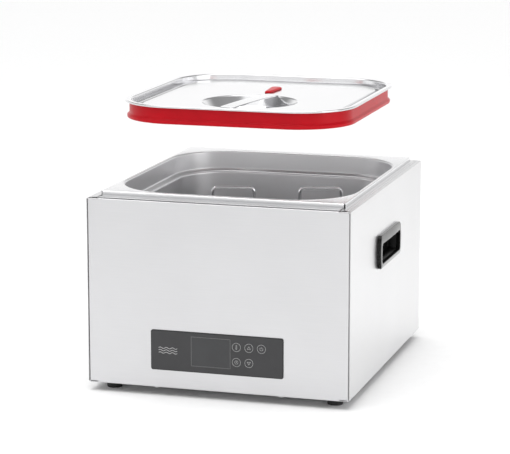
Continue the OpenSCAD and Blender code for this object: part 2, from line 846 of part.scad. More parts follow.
front_panel();
left_panel();
right_panel();
rear_panel();
base_plate();
deck();
tank();
insulation();
heater_plate();
heater_element();
heater_clamps();
temp_sensor();
sensor_clip();
thermal_cutout();
fascia();
key_frame();
display_window();
display_module();
control_board();
key_switches();
key_probe();
key_up();
key_power();
key_timer();
key_down();
power_board();
power_relay();
transformer();
board_standoffs();
wiring();
power_inlet();
inlet_screws();
handle_bezel_left();
handle_bezel_right();
handle_cup_left();
handle_cup_right();
foot_front_left();
foot_front_right();
foot_rear_left();
foot_rear_right();
foot_screws();
base_screws();
rear_screws();
earth_stud();
rack_grid();
rack_loop_rear_left();
rack_loop_rear_right();
rack_loop_front_left();
rack_loop_front_right();
lid_shell();
lid_strap();
lid_seal();
lid_plug();
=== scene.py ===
"""Looks of a table-top sous vide water bath with its lid held above it."""
import json
import math

import bpy
import bmesh
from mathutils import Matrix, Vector


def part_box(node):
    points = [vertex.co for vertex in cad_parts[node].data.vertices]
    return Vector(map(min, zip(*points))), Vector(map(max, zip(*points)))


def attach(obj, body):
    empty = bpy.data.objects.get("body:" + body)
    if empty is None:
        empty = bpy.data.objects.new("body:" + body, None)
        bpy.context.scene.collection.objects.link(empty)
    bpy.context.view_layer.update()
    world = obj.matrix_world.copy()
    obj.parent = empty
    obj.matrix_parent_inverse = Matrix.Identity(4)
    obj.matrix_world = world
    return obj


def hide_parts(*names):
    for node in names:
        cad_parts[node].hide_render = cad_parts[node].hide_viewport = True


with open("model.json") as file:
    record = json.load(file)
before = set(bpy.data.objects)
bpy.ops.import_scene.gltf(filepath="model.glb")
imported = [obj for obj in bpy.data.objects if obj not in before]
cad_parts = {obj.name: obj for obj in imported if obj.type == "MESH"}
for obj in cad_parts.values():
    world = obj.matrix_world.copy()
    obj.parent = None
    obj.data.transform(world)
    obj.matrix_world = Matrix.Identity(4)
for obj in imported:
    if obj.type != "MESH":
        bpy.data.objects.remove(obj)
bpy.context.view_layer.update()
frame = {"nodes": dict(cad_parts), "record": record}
scene = bpy.context.scene
mm = 0.001


# ---------------------------------------------------------------- frame
def span(node):
    low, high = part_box(node)
    return Vector(low), Vector(high)


front_low, front_high = span("front_panel")
left_low, left_high = span("left_panel")
right_high = span("right_panel")[1]
deck_low, deck_high = span("deck")
tank_low, tank_high = span("tank")
lid_low, lid_high = span("lid_shell")
seal_low, seal_high = span("lid_seal")
plug_low, plug_high = span("lid_plug")
strap_low, strap_high = span("lid_strap")
fascia_low, fascia_high = span("fascia")
window_low, window_high = span("display_window")

front_y = front_low.y
side_x = right_high.x
base_z = front_low.z
top_z = front_high.z
deck_z = deck_high.z


# ---------------------------------------------------------------- camera
def make_camera():
    """The long lens that looks at the bath from its front right."""
    azimuth = math.radians(16.65)
    elevation = math.radians(11.32)
    distance = 3.2646
    target = Vector((-0.0096, 0.0, 0.2022))
    back = Vector((
        math.sin(azimuth) * math.cos(elevation),
        -math.cos(azimuth) * math.cos(elevation),
        math.sin(elevation)))
    data = bpy.data.cameras.new("camera")
    data.sensor_width = 36.0
    data.lens = 158.3
    camera = bpy.data.objects.new("camera", data)
    camera.location = target + back * distance
    camera.rotation_euler = back.to_track_quat("Z", "Y").to_euler()
    scene.collection.objects.link(camera)
    scene.camera = camera


# ---------------------------------------------------------------- materials
def node_material(name):
    material = bpy.data.materials.new(name)
    material.use_nodes = True
    tree = material.node_tree
    shader = tree.nodes["Principled BSDF"]
    coordinates = tree.nodes.new("ShaderNodeTexCoord")
    return material, tree, shader, coordinates.outputs["Object"]


def noise(tree, vector, scale, stretch=(1, 1, 1), detail=3.0):
    mapping = tree.nodes.new("ShaderNodeMapping")
    mapping.inputs["Scale"].default_value = stretch
    tree.links.new(vector, mapping.inputs["Vector"])
    texture = tree.nodes.new("ShaderNodeTexNoise")
    texture.inputs["Scale"].default_value = scale
    texture.inputs["Detail"].default_value = detail
    tree.links.new(mapping.outputs["Vector"], texture.inputs["Vector"])
    return texture.outputs["Fac"]


def remap(tree, value, low, high):
    node = tree.nodes.new("ShaderNodeMapRange")
    node.inputs["To Min"].default_value = low
    node.inputs["To Max"].default_value = high
    tree.links.new(value, node.inputs["Value"])
    return node.outputs["Result"]


def blend_colours(tree, value, dark, light):
    ramp = tree.nodes.new("ShaderNodeValToRGB")
    ramp.color_ramp.elements[0].position = 0.3
    ramp.color_ramp.elements[0].color = (*dark, 1)
    ramp.color_ramp.elements[1].position = 0.7
    ramp.color_ramp.elements[1].color = (*light, 1)
    tree.links.new(value, ramp.inputs["Fac"])
    return ramp.outputs["Color"]


def bump(tree, shader, value, strength, distance):
    node = tree.nodes.new("ShaderNodeBump")
    node.inputs["Strength"].default_value = strength
    node.inputs["Distance"].default_value = distance
    tree.links.new(value, node.inputs["Height"])
    tree.links.new(node.outputs["Normal"], shader.inputs["Normal"])


def steel(name, colour, roughness, grain=(1, 1, 1), grain_scale=900, variation=0.03, relief=0.04):
    """Brushed or polished sheet: fine grain lines over slow cloudy patches."""
    material, tree, shader, place = node_material(name)
    lines = noise(tree, place, grain_scale, grain, 4.0)
    clouds = noise(tree, place, 9.0)
    dark = tuple(c * (1 - variation) for c in colour)
    light = tuple(min(1, c * (1 + variation)) for c in colour)
    mix = tree.nodes.new("ShaderNodeMath")
    mix.operation = "ADD"
    mix.use_clamp = True
    for index, pattern in enumerate((lines, clouds)):
        half = tree.nodes.new("ShaderNodeMath")
        half.operation = "MULTIPLY"
        half.inputs[1].default_value = 0.5
        tree.links.new(pattern, half.inputs[0])
        tree.links.new(half.outputs[0], mix.inputs[index])
    tree.links.new(blend_colours(tree, mix.outputs[0], dark, light), shader.inputs["Base Color"])
    tree.links.new(
        remap(tree, lines, roughness * 0.85, roughness * 1.15), shader.inputs["Roughness"])
    shader.inputs["Metallic"].default_value = 1.0
    bump(tree, shader, lines, relief, 0.00003)
    return material


def moulded(name, colour, roughness, grain_scale=2500, variation=0.12, relief=0.15, coat=0.0,
            specular=0.5, depth=0.00004, coat_ior=1.5):
    """Plastic, rubber, film or silicone: even colour, fine texture, slightly uneven gloss."""
    material, tree, shader, place = node_material(name)
    fine = noise(tree, place, grain_scale)
    slow = noise(tree, place, 40.0)
    dark = tuple(c * (1 - variation) for c in colour)
    light = tuple(min(1, c * (1 + variation)) for c in colour)
    tree.links.new(blend_colours(tree, slow, dark, light), shader.inputs["Base Color"])
    tree.links.new(remap(tree, slow, roughness * 0.8, roughness * 1.2), shader.inputs["Roughness"])
    shader.inputs["Coat Weight"].default_value = coat
    shader.inputs["Coat Roughness"].default_value = 0.06
    shader.inputs["Coat IOR"].default_value = coat_ior
    shader.inputs["Specular IOR Level"].default_value = specular
    bump(tree, shader, fine, relief, depth)
    return material


across_grain = (0.02, 1, 1)
depth_grain = (1, 0.02, 1)

materials = {
    # housing_steel (front) and side_steel (sides) are one brushed steel in two tones: the front is
    # darker as painted shade and the sides lighter as painted light.
    "housing_steel": steel("housing_steel", (0.64, 0.64, 0.65), 0.30, across_grain),
    "side_steel": steel("side_steel", (0.74, 0.74, 0.745), 0.30, depth_grain),
    "base_steel": steel("base_steel", (0.55, 0.55, 0.56), 0.42, (1, 1, 1), 220, 0.15),
    "bath_steel": steel("bath_steel", (0.72, 0.72, 0.73), 0.34, (1, 1, 1), 700, 0.03, 0.01),
    # deck_steel is the same steel made lighter still, as painted light on the upward-facing deck.
    "deck_steel": steel("deck_steel", (0.84, 0.84, 0.85), 0.26, (1, 1, 1), 700, 0.03, 0.01),
    "spreader": steel("spreader", (0.75, 0.75, 0.76), 0.4, across_grain),
    "heater_sheath": steel("heater_sheath", (0.28, 0.27, 0.26), 0.5, (1, 1, 1), 300, 0.2),
    "zinc_steel": steel("zinc_steel", (0.70, 0.71, 0.72), 0.3, (1, 1, 1), 500, 0.08),
    "brass_stud": steel("brass_stud", (0.78, 0.60, 0.28), 0.3, (1, 1, 1), 500, 0.08),
    "rack_wire": steel("rack_wire", (0.90, 0.90, 0.91), 0.10, (1, 1, 1), 500, 0.03, 0.01),
    "lid_steel": steel("lid_steel", (0.69, 0.69, 0.70), 0.15, (1, 1, 1), 500, 0.03, 0.02),
    "copper_winding": steel("copper_winding", (0.72, 0.40, 0.18), 0.35, across_grain, 700, 0.2),
    "wool": moulded("wool", (0.80, 0.74, 0.55), 0.9, 600, 0.2, 0.8, depth=0.0008),
    "cutout_body": moulded("cutout_body", (0.40, 0.24, 0.12), 0.5),
    "fascia_film": moulded("fascia_film", (0.052, 0.052, 0.054), 0.45, 3000, 0.05, 0.1,
                           specular=0.25),
    "fascia_border": moulded("fascia_border", (0.022, 0.022, 0.023), 0.4, 3000, 0.05, 0.1,
                             specular=0.25),
    "key_cap": moulded("key_cap", (0.052, 0.052, 0.054), 0.45, 3000, 0.05, 0.1, specular=0.25),
    "black_moulding": moulded("black_moulding", (0.02, 0.02, 0.021), 0.45),
    "display_glass": moulded("display_glass", (0.046, 0.047, 0.049), 0.2, 50, 0.05, 0.02,
                             coat=0.15, specular=0.3),
    "circuit_board": moulded("circuit_board", (0.015, 0.13, 0.05), 0.35, 900, 0.2, 0.2, coat=0.4),
    "relay_case": moulded("relay_case", (0.75, 0.75, 0.70), 0.35),
    "lead_cover": moulded("lead_cover", (0.45, 0.05, 0.04), 0.45),
    "handle_gloss": moulded("handle_gloss", (0.006, 0.006, 0.006), 0.10, 700, 0.1, 0.02, coat=1.0,
                            specular=0.12, coat_ior=1.18),
    "pocket_black": moulded("pocket_black", (0.004, 0.004, 0.004), 0.40, specular=0.08),
    "foot_rubber": moulded("foot_rubber", (0.015, 0.015, 0.015), 0.6, 1200, 0.2, 0.3),
    "red_silicone": moulded("red_silicone", (0.47, 0.003, 0.010), 0.30, 900, 0.06, 0.05, specular=0.12),
    "window_ink": moulded("window_ink", (0.16, 0.16, 0.16), 0.5, 2000, 0.05, 0.05),
    "ink": moulded("ink", (0.42, 0.42, 0.42), 0.5, 2000, 0.05, 0.05),
}


# ---------------------------------------------------------------- mesh helpers
def finish_piece(name, verts, faces, material, body, smooth_angle=35):
    mesh = bpy.data.meshes.new(name)
    mesh.from_pydata([tuple(v) for v in verts], [], faces)
    work = bmesh.new()
    work.from_mesh(mesh)
    bmesh.ops.remove_doubles(work, verts=work.verts, dist=1e-7)
    bmesh.ops.recalc_face_normals(work, faces=work.faces)
    work.to_mesh(mesh)
    work.free()
    return add_piece(name, mesh, material, body, smooth_angle)


def add_piece(name, mesh, material, body, smooth_angle=35):
    mesh.polygons.foreach_set("use_smooth", [True] * len(mesh.polygons))
    mesh.set_sharp_from_angle(angle=math.radians(smooth_angle))
    mesh.materials.append(materials[material])
    piece = bpy.data.objects.new(name, mesh)
    scene.collection.objects.link(piece)
    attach(piece, body)
    return piece


def apply_modifier(piece, kind, **settings):
    modifier = piece.modifiers.new(kind, kind)
    for key, value in settings.items():
        setattr(modifier, key, value)
    graph = bpy.context.evaluated_depsgraph_get()
    mesh = bpy.data.meshes.new_from_object(piece.evaluated_get(graph))
    piece.modifiers.clear()
    old = piece.data
    piece.data = mesh
    bpy.data.meshes.remove(old)
    mesh.name = piece.name


def flatten_shading(piece):
    """Lets the large flat faces set the normals, so that only the bends are shaded round."""
    apply_modifier(piece, "WEIGHTED_NORMAL", mode="FACE_AREA", weight=100, keep_sharp=True)


def subtract(piece, work):
    """Takes the solid held in a bmesh out of a piece, and frees the bmesh."""
    mesh = bpy.data.meshes.new("cutter")
    work.to_mesh(mesh)
    work.free()
    cutter = bpy.data.objects.new("cutter", mesh)
    scene.collection.objects.link(cutter)
    apply_modifier(piece, "BOOLEAN", object=cutter, operation="DIFFERENCE", solver="EXACT")
    bpy.data.objects.remove(cutter)
    bpy.data.meshes.remove(mesh)


def cut_box(piece, low, high):
    """Takes a box out of a piece."""
    work = bmesh.new()
    bmesh.ops.create_cube(work, size=1.0)
    for v in work.verts:
        v.co = Vector([(a + b) / 2 + c * (b - a) for a, b, c in zip(low, high, v.co)])
    subtract(piece, work)


def cut_discs(piece, centres, radius, y0, y1):
    """Takes round holes, drilled front to back, out of a piece; centres are (x, z)."""
    turn = 64
    work = bmesh.new()
    for cx, cz in centres:
        rings = [[
            Vector((cx + radius * math.cos(math.tau * i / turn), y,
                    cz + radius * math.sin(math.tau * i / turn)))
            for i in range(turn)] for y in (y0, y1)]
        verts, faces = join_rings(rings, cap_first=True, cap_last=True)
        corners = [work.verts.new(v) for v in verts]
        for face in faces:
            work.faces.new([corners[i] for i in face])
    bmesh.ops.recalc_face_normals(work, faces=work.faces)
    subtract(piece, work)
    piece.data.set_sharp_from_angle(angle=math.radians(30))


def rounded_ring(width, depth, radius, z, centre=(0, 0), steps=12, straight=0):
    """A rounded rectangle, anticlockwise, at height z; straight adds points along each side."""
    points = []
    for quarter, (sx, sy) in enumerate(((1, 1), (-1, 1), (-1, -1), (1, -1))):
        for i in range(steps + 1):
            angle = math.radians(90 * quarter + 90 * i / steps)
            points.append(Vector((
                centre[0] + sx * (width / 2 - radius) + radius * math.cos(angle),
                centre[1] + sy * (depth / 2 - radius) + radius * math.sin(angle),
                z)))
    if not straight:
        return points
    dense = []
    for k, point in enumerate(points):
        dense.append(point)
        if k % (steps + 1) == steps:
            after = points[(k + 1) % len(points)]
            dense += [point.lerp(after, i / (straight + 1)) for i in range(1, straight + 1)]
    return dense


def fillet(points, radii, steps=5):
    """A polyline with each inner corner turned into an arc of its own radius."""
    result = [Vector(points[0])]
    for before, corner, after, radius in zip(points, points[1:], points[2:], radii):
        corner = Vector(corner)
        to_before = (Vector(before) - corner).normalized()
        to_after = (Vector(after) - corner).normalized()
        if radius <= 0:
            result.append(corner)
            continue
        half = to_before.angle(to_after) / 2
        reach = radius / math.tan(half)
        centre = corner + (to_before + to_after).normalized() * radius / math.sin(half)
        start = corner + to_before * reach - centre
        end = corner + to_after * reach - centre
        sweep = math.pi - 2 * half
        for i in range(steps + 1):
            t = i / steps
            arm = (start * math.sin((1 - t) * sweep) + end * math.sin(t * sweep)) / math.sin(sweep)
            result.append(centre + arm)
    result.append(Vector(points[-1]))
    return result


def join_rings(rings, close=True, cap_first=False, cap_last=False):
    count = len(rings[0])
    verts = [v for ring in rings for v in ring]
    faces = []
    for k in range(len(rings) - 1):
        for i in range(count if close else count - 1):
            j = (i + 1) % count
            faces.append((k * count + i, k * count + j, (k + 1) * count + j, (k + 1) * count + i))
    if cap_first:
        faces.append(tuple(range(count)))
    if cap_last:
        last = (len(rings) - 1) * count
        faces.append(tuple(last + i for i in range(count)))
    return verts, faces


def swept_rim(width, depth, radius, profile, centre=(0, 0), steps=12, straight=0):
    """Rings of a profile of (inset, height) points carried round a rounded rectangle."""
    return [
        rounded_ring(width - 2 * inset, depth - 2 * inset, max(radius - inset, 0.5 * mm), z, centre,
                     steps, straight)
        for inset, z in profile]


def bent_sheet(path, start, end, place):
    """A folded strip: path is a 2-D line, place puts (u, v, along) in space."""
    rings = [[place(u, v, start) for u, v in path], [place(u, v, end) for u, v in path]]
    return join_rings(rings, close=False)


def merge(parts):
    verts, faces = [], []
    for part_verts, part_faces in parts:
        shift = len(verts)
        verts += list(part_verts)
        faces += [tuple(i + shift for i in face) for face in part_faces]
    return verts, faces


# ---------------------------------------------------------------- housing
sheet = 1.2 * mm
bend = 1.2 * mm


def front_like_panel(name, outer_y, inner_y, side_flange, hole=None):
    """A wall with bent edges and a flange folded in along its top; hole is a box cut from it."""
    inward = 1 if inner_y > outer_y else -1
    seam = 0.5 * mm
    low_x, high_x = front_low.x + seam, front_high.x - seam
    depth = 6 * mm
    rings = []
    # Each ring is a rectangle in the wall's plane; the bend rolls it back from the face.
    for i in range(6):
        angle = math.radians(90 * i / 5)
        grow = bend * (math.sin(angle) - 1)
        back = bend * (1 - math.cos(angle))
        rings.append((grow, back))
    rings.append((0, depth))
    loops = []
    for grow, back in rings:
        y = outer_y + inward * back
        loops.append([
            Vector((low_x - grow, y, base_z - grow)), Vector((high_x + grow, y, base_z - grow)),
            Vector((high_x + grow, y, top_z + grow)), Vector((low_x - grow, y, top_z + grow))])
    wall = join_rings(loops, cap_first=True)
    flange_x = side_x - side_flange
    flange = bent_sheet(
        [(outer_y + inward * depth, top_z), (inner_y, top_z)], -flange_x, flange_x,
        lambda u, v, along: Vector((along, u, v)))
    verts, faces = merge([wall, flange])
    piece = finish_piece(name, verts, faces, "housing_steel", "housing")
    apply_modifier(piece, "SOLIDIFY", thickness=sheet, offset=-1.0)
    if hole:
        cut_box(piece, *hole)
    flatten_shading(piece)
    return piece


def side_wall(name, side):
    """Side sheet with a rolled top edge, an inward flange and the hole for its handle."""
    outer = side * side_x
    flange_end = side * (side_x - 17 * mm)
    path = fillet(
        [(side * (side_x - 14 * mm), base_z + sheet), (outer, base_z + sheet), (outer, top_z),
         (flange_end, top_z)], [bend, bend])
    verts, faces = bent_sheet(
        [(p[0], p[1]) for p in path], left_low.y, left_high.y,
        lambda u, v, along: Vector((u, along, v)))
    piece = finish_piece(name, verts, faces, "side_steel", "housing")
    apply_modifier(piece, "SOLIDIFY", thickness=sheet, offset=-1.0)
    cup_low, cup_high = span("handle_cup_right")
    low = [side * (side_x - 4 * mm), cup_low.y, cup_low.z]
    high = [side * (side_x + 2 * mm), cup_high.y, cup_high.z]
    cut_box(piece, [min(a, b) for a, b in zip(low, high)], [max(a, b) for a, b in zip(low, high)])
    flatten_shading(piece)
    return piece


def make_housing():
    frame_low, frame_high = span("key_frame")
    hole = ((frame_low.x, front_y - 5 * mm, frame_low.z),
            (frame_high.x, front_y + 9 * mm, frame_high.z))
    front = front_like_panel("front_skin", front_y, front_y + 28 * mm, 17.1 * mm, hole)
    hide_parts("front_panel")
    right = side_wall("right_skin", 1)
    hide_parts("right_panel")
    left = side_wall("left_skin", -1)
    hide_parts("left_panel")
    # A folded hem lies on each side flange, just under the deck.
    hem_start, hem_w, hem_h = 6.5 * mm, 7.1 * mm, 0.8 * mm
    for side, name in ((1, "right_hem"), (-1, "left_hem")):
        outer = side * (side_x - hem_start)
        inner = side * (side_x - hem_start - hem_w)
        low_z = top_z - 0.1 * mm
        high_z = top_z + hem_h
        path = fillet([(outer, low_z), (outer, high_z), (inner, high_z), (inner, low_z)],
                      [0.5 * mm, 0.3 * mm], 3)
        ends = (left_low.y + 6 * mm, left_high.y - 6 * mm)
        rings = [[Vector((p[0], y, p[1])) for p in path] for y in ends]
        verts, faces = join_rings(rings, cap_first=True, cap_last=True)
        finish_piece(name, verts, faces, "side_steel", "housing")


# ---------------------------------------------------------------- deck and bath
mouth_r = 85 * mm
mouth_w = tank_high.x - tank_low.x - 5 * mm
mouth_d = tank_high.y - tank_low.y - 5 * mm
roll = 2.5 * mm


def make_deck():
    """Top plate with a rolled mouth, and a skirt bent down on each side."""
    notch = 2.0 * mm
    edge = 1.6 * mm
    steps = 12
    ring = rounded_ring(mouth_w + 2 * roll, mouth_d + 2 * roll, mouth_r + roll, deck_z, steps=steps)
    x0, x1 = deck_low.x + edge, deck_high.x - edge
    y0, y1 = deck_low.y + edge, deck_high.y - edge
    outer = []
    for k, p in enumerate(ring):
        quarter, i = divmod(k, steps + 1)
        corner = Vector(((x1, x0, x0, x1)[quarter], (y1, y1, y0, y0)[quarter], deck_z))
        if i * 2 == steps:
            outer.append(corner)
        elif (i * 2 < steps) == (quarter % 2 == 0):
            outer.append(Vector((corner.x, p.y if abs(p.y) < abs(corner.y) else corner.y, deck_z)))
        else:
            outer.append(Vector((p.x if abs(p.x) < abs(corner.x) else corner.x, corner.y, deck_z)))
    plate = join_rings([outer, ring])
    parts = [plate]
    down = deck_z - top_z
    for along_x, sign, place in (
            (True, -1, deck_low.y), (True, 1, deck_high.y),
            (False, -1, deck_low.x), (False, 1, deck_high.x)):
        path = fillet(
            [(place - sign * edge, deck_z), (place, deck_z), (place, deck_z - down)],
            [edge - 0.01 * mm], 4)
        if along_x:
            strip = bent_sheet([(p[0], p[1]) for p in path], deck_low.x + notch, deck_high.x - notch,
                               lambda u, v, along: Vector((along, u, v)))
        else:
            strip = bent_sheet([(p[0], p[1]) for p in path], deck_low.y + notch, deck_high.y - notch,
                               lambda u, v, along: Vector((u, along, v)))
        parts.append(strip)
    verts, faces = merge(parts)
    piece = finish_piece("deck_skin", verts, faces, "deck_steel", "housing", 30)
    apply_modifier(piece, "SOLIDIFY", thickness=1.0 * mm, offset=-1.0)
    flatten_shading(piece)
    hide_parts("deck")


def make_bath():
    """Deep-drawn well: rolled mouth, drawn ledge, rounded floor."""
    ledge = 28 * mm
    ledge_w = 10 * mm
    ledge_slope = 1.0 * mm
    floor = deck_z - tank_low.z - 1 * mm
    path = fillet(
        [(-roll, 0), (0, 0), (0, -ledge), (ledge_w, -ledge - ledge_slope), (ledge_w, -floor),
         (90 * mm, -floor - 0.5 * mm)],
        [roll - 0.01 * mm, 3 * mm, 4 * mm, 18 * mm], 6)
    rings = swept_rim(mouth_w, mouth_d, mouth_r, [(p[0], deck_z + p[1]) for p in path])
    verts, faces = join_rings(rings, cap_last=True)
    piece = finish_piece("bath_skin", verts, faces, "bath_steel", "housing", 50)
    apply_modifier(piece, "SOLIDIFY", thickness=0.9 * mm, offset=-1.0)
    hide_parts("tank")


# ---------------------------------------------------------------- control panel
film_y = fascia_low.y + 0.1 * mm


def plate_on_front(name, x0, x1, z0, z1, y_face, y_back, radius, edge, material, body="housing"):
    """A flat plate on the front with rounded corners and a softened outer edge."""
    centre = ((x0 + x1) / 2, (z0 + z1) / 2)
    levels = []
    for i in range(4):
        angle = math.radians(30 * i)
        levels.append((edge * (1 - math.sin(angle)), y_face + edge * (1 - math.cos(angle))))
    levels.append((0, y_back))
    rings = []
    for inset, y in levels:
        ring = rounded_ring(x1 - x0 - 2 * inset, z1 - z0 - 2 * inset, max(radius - inset, 0.2 * mm), 0,
                            centre, 6)
        rings.append([Vector((p.x, y, p.y)) for p in ring])
    verts, faces = join_rings(rings, cap_first=True, cap_last=True)
    return finish_piece(name, verts, faces, material, body, 30)


def stroke(points, width, y, closed=False, lift=0.03 * mm):
    """A drawn line of constant width on the front face, as a thin raised strip."""
    points = [Vector((p[0], p[1])) for p in points]
    count = len(points)
    left, right = [], []
    for i, p in enumerate(points):
        before = points[i - 1] if (i > 0 or closed) else None
        after = points[(i + 1) % count] if (i < count - 1 or closed) else None
        a = (p - before).normalized() if before is not None else (after - p).normalized()
        b = (after - p).normalized() if after is not None else a
        normal = Vector((-(a.y + b.y), a.x + b.x)).normalized()
        reach = width / 2 / max(0.4, normal.dot(Vector((-a.y, a.x))))
        left.append(p + normal * reach)
        right.append(p - normal * reach)
    loops = []
    for line, depth in ((left, y + lift), (left, y), (right, y), (right, y + lift)):
        loops.append([Vector((p.x, depth, p.y)) for p in line])
    verts = [v for loop in loops for v in loop]
    faces = []
    for k in range(4):
        for i in range(count if closed else count - 1):
            j = (i + 1) % count
            m = (k + 1) % 4
            faces.append((k * count + i, k * count + j, m * count + j, m * count + i))
    if not closed:
        faces.append((0, count, 2 * count, 3 * count))
        last = count - 1
        faces.append((last, count + last, 2 * count + last, 3 * count + last))
    return verts, faces


def arc(cx, cz, radius, start, end, steps=32):
    return [
        (cx + radius * math.cos(math.radians(start + (end - start) * i / steps)),
         cz + radius * math.sin(math.radians(start + (end - start) * i / steps)))
        for i in range(steps + 1)]


def make_icon(kind, cx, cz, y):
    line = 0.42 * mm
    if kind == "probe":
        bulb = arc(cx, cz - 1.9 * mm, 0.95 * mm, 125, 415, 20)
        stem = [(cx + 0.55 * mm, cz + 2.7 * mm), (cx - 0.55 * mm, cz + 2.7 * mm)]
        return [stroke(bulb + stem, line, y, closed=True)]
    if kind in ("up", "down"):
        flip = 1 if kind == "up" else -1
        return [stroke([(cx - 2.3 * mm, cz - flip * 1.6 * mm), (cx + 2.3 * mm, cz - flip * 1.6 * mm),
                        (cx, cz + flip * 2.3 * mm)], line, y, closed=True)]
    if kind == "power":
        return [stroke(arc(cx, cz, 2.3 * mm, 125, 415, 24), line, y),
                stroke([(cx, cz + 0.4 * mm), (cx, cz + 2.8 * mm)], line, y)]
    return [stroke(arc(cx, cz, 2.4 * mm, 0, 345, 24), line, y),
            stroke([(cx, cz + 1.5 * mm), (cx, cz), (cx + 1.2 * mm, cz - 0.7 * mm)], line, y)]


def make_panel():
    border = 1.0 * mm
    x0, x1, z0, z1 = fascia_low.x, fascia_high.x, fascia_low.z, fascia_high.z
    rim = plate_on_front("fascia_rim", x0, x1, z0, z1, film_y + 0.1 * mm, front_y, 3 * mm, 0.4 * mm,
                         "fascia_border")
    film = plate_on_front("fascia_sheet", x0 + border, x1 - border, z0 + border, z1 - border,
                          film_y + 0.02 * mm, film_y + 0.5 * mm, 2.2 * mm, 0.1 * mm, "fascia_film")
    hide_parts("fascia")
    kinds = {"key_probe": "probe", "key_up": "up", "key_power": "power", "key_timer": "timer",
             "key_down": "down"}
    key_r = 6.6 * mm
    centres = {}
    for node in kinds:
        low, high = span(node)
        centres[node] = ((low.x + high.x) / 2, (low.z + high.z) / 2)
    for sheet_piece in (rim, film):
        cut_discs(sheet_piece, centres.values(), key_r + 0.12 * mm, film_y - 1 * mm, front_y + 1 * mm)
    grow = 0.3 * mm
    corners = [(window_low.x - grow, window_low.z - grow), (window_high.x + grow, window_low.z - grow),
               (window_high.x + grow, window_high.z + grow), (window_low.x - grow, window_high.z + grow)]
    verts, faces = stroke(corners, 0.5 * mm, film_y - 0.02 * mm, closed=True)
    finish_piece("window_line", verts, faces, "window_ink", "housing", 30)
    window = plate_on_front("window_pane", window_low.x, window_high.x, window_low.z, window_high.z,
                            film_y - 0.01 * mm, film_y + 0.35 * mm, 0.3 * mm, 0.05 * mm,
                            "display_glass")
    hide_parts("display_window")
    for node, kind in kinds.items():
        cx, cz = centres[node]
        rings = []
        for inset, y in ((0.25 * mm, 0.0), (0.07 * mm, 0.07 * mm), (0, 0.25 * mm), (0, 2.6 * mm)):
            rings.append([
                Vector((cx + (key_r - inset) * math.cos(math.radians(a)), film_y - 0.02 * mm + y,
                        cz + (key_r - inset) * math.sin(math.radians(a))))
                for a in range(0, 360, 8)])
        verts, faces = join_rings(rings, cap_first=True, cap_last=True)
        cap = finish_piece(node + "_cap", verts, faces, "key_cap", node, 30)
        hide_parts(node)
        ring = stroke(arc(cx, cz, 5.9 * mm, 0, 352.5, 46), 0.45 * mm, film_y - 0.05 * mm, closed=True)
        verts, faces = merge([ring] + make_icon(kind, cx, cz, film_y - 0.05 * mm))
        finish_piece(node + "_print", verts, faces, "ink", node, 30)
    # A plain mark of three waves fills the left of the panel.
    waves = []
    start_x, step_x, row_gap = -84 * mm, 0.6 * mm, 3.4 * mm
    swing, turn_step, line = 0.9 * mm, 0.42, 0.8 * mm
    for row in range(3):
        z = (fascia_low.z + fascia_high.z) / 2 + (row - 1) * row_gap
        points = [(start_x + step_x * i, z + swing * math.sin(i * turn_step)) for i in range(46)]
        waves.append(stroke(points, line, film_y - 0.02 * mm))
    verts, faces = merge(waves)
    finish_piece("wave_mark", verts, faces, "ink", "housing", 30)


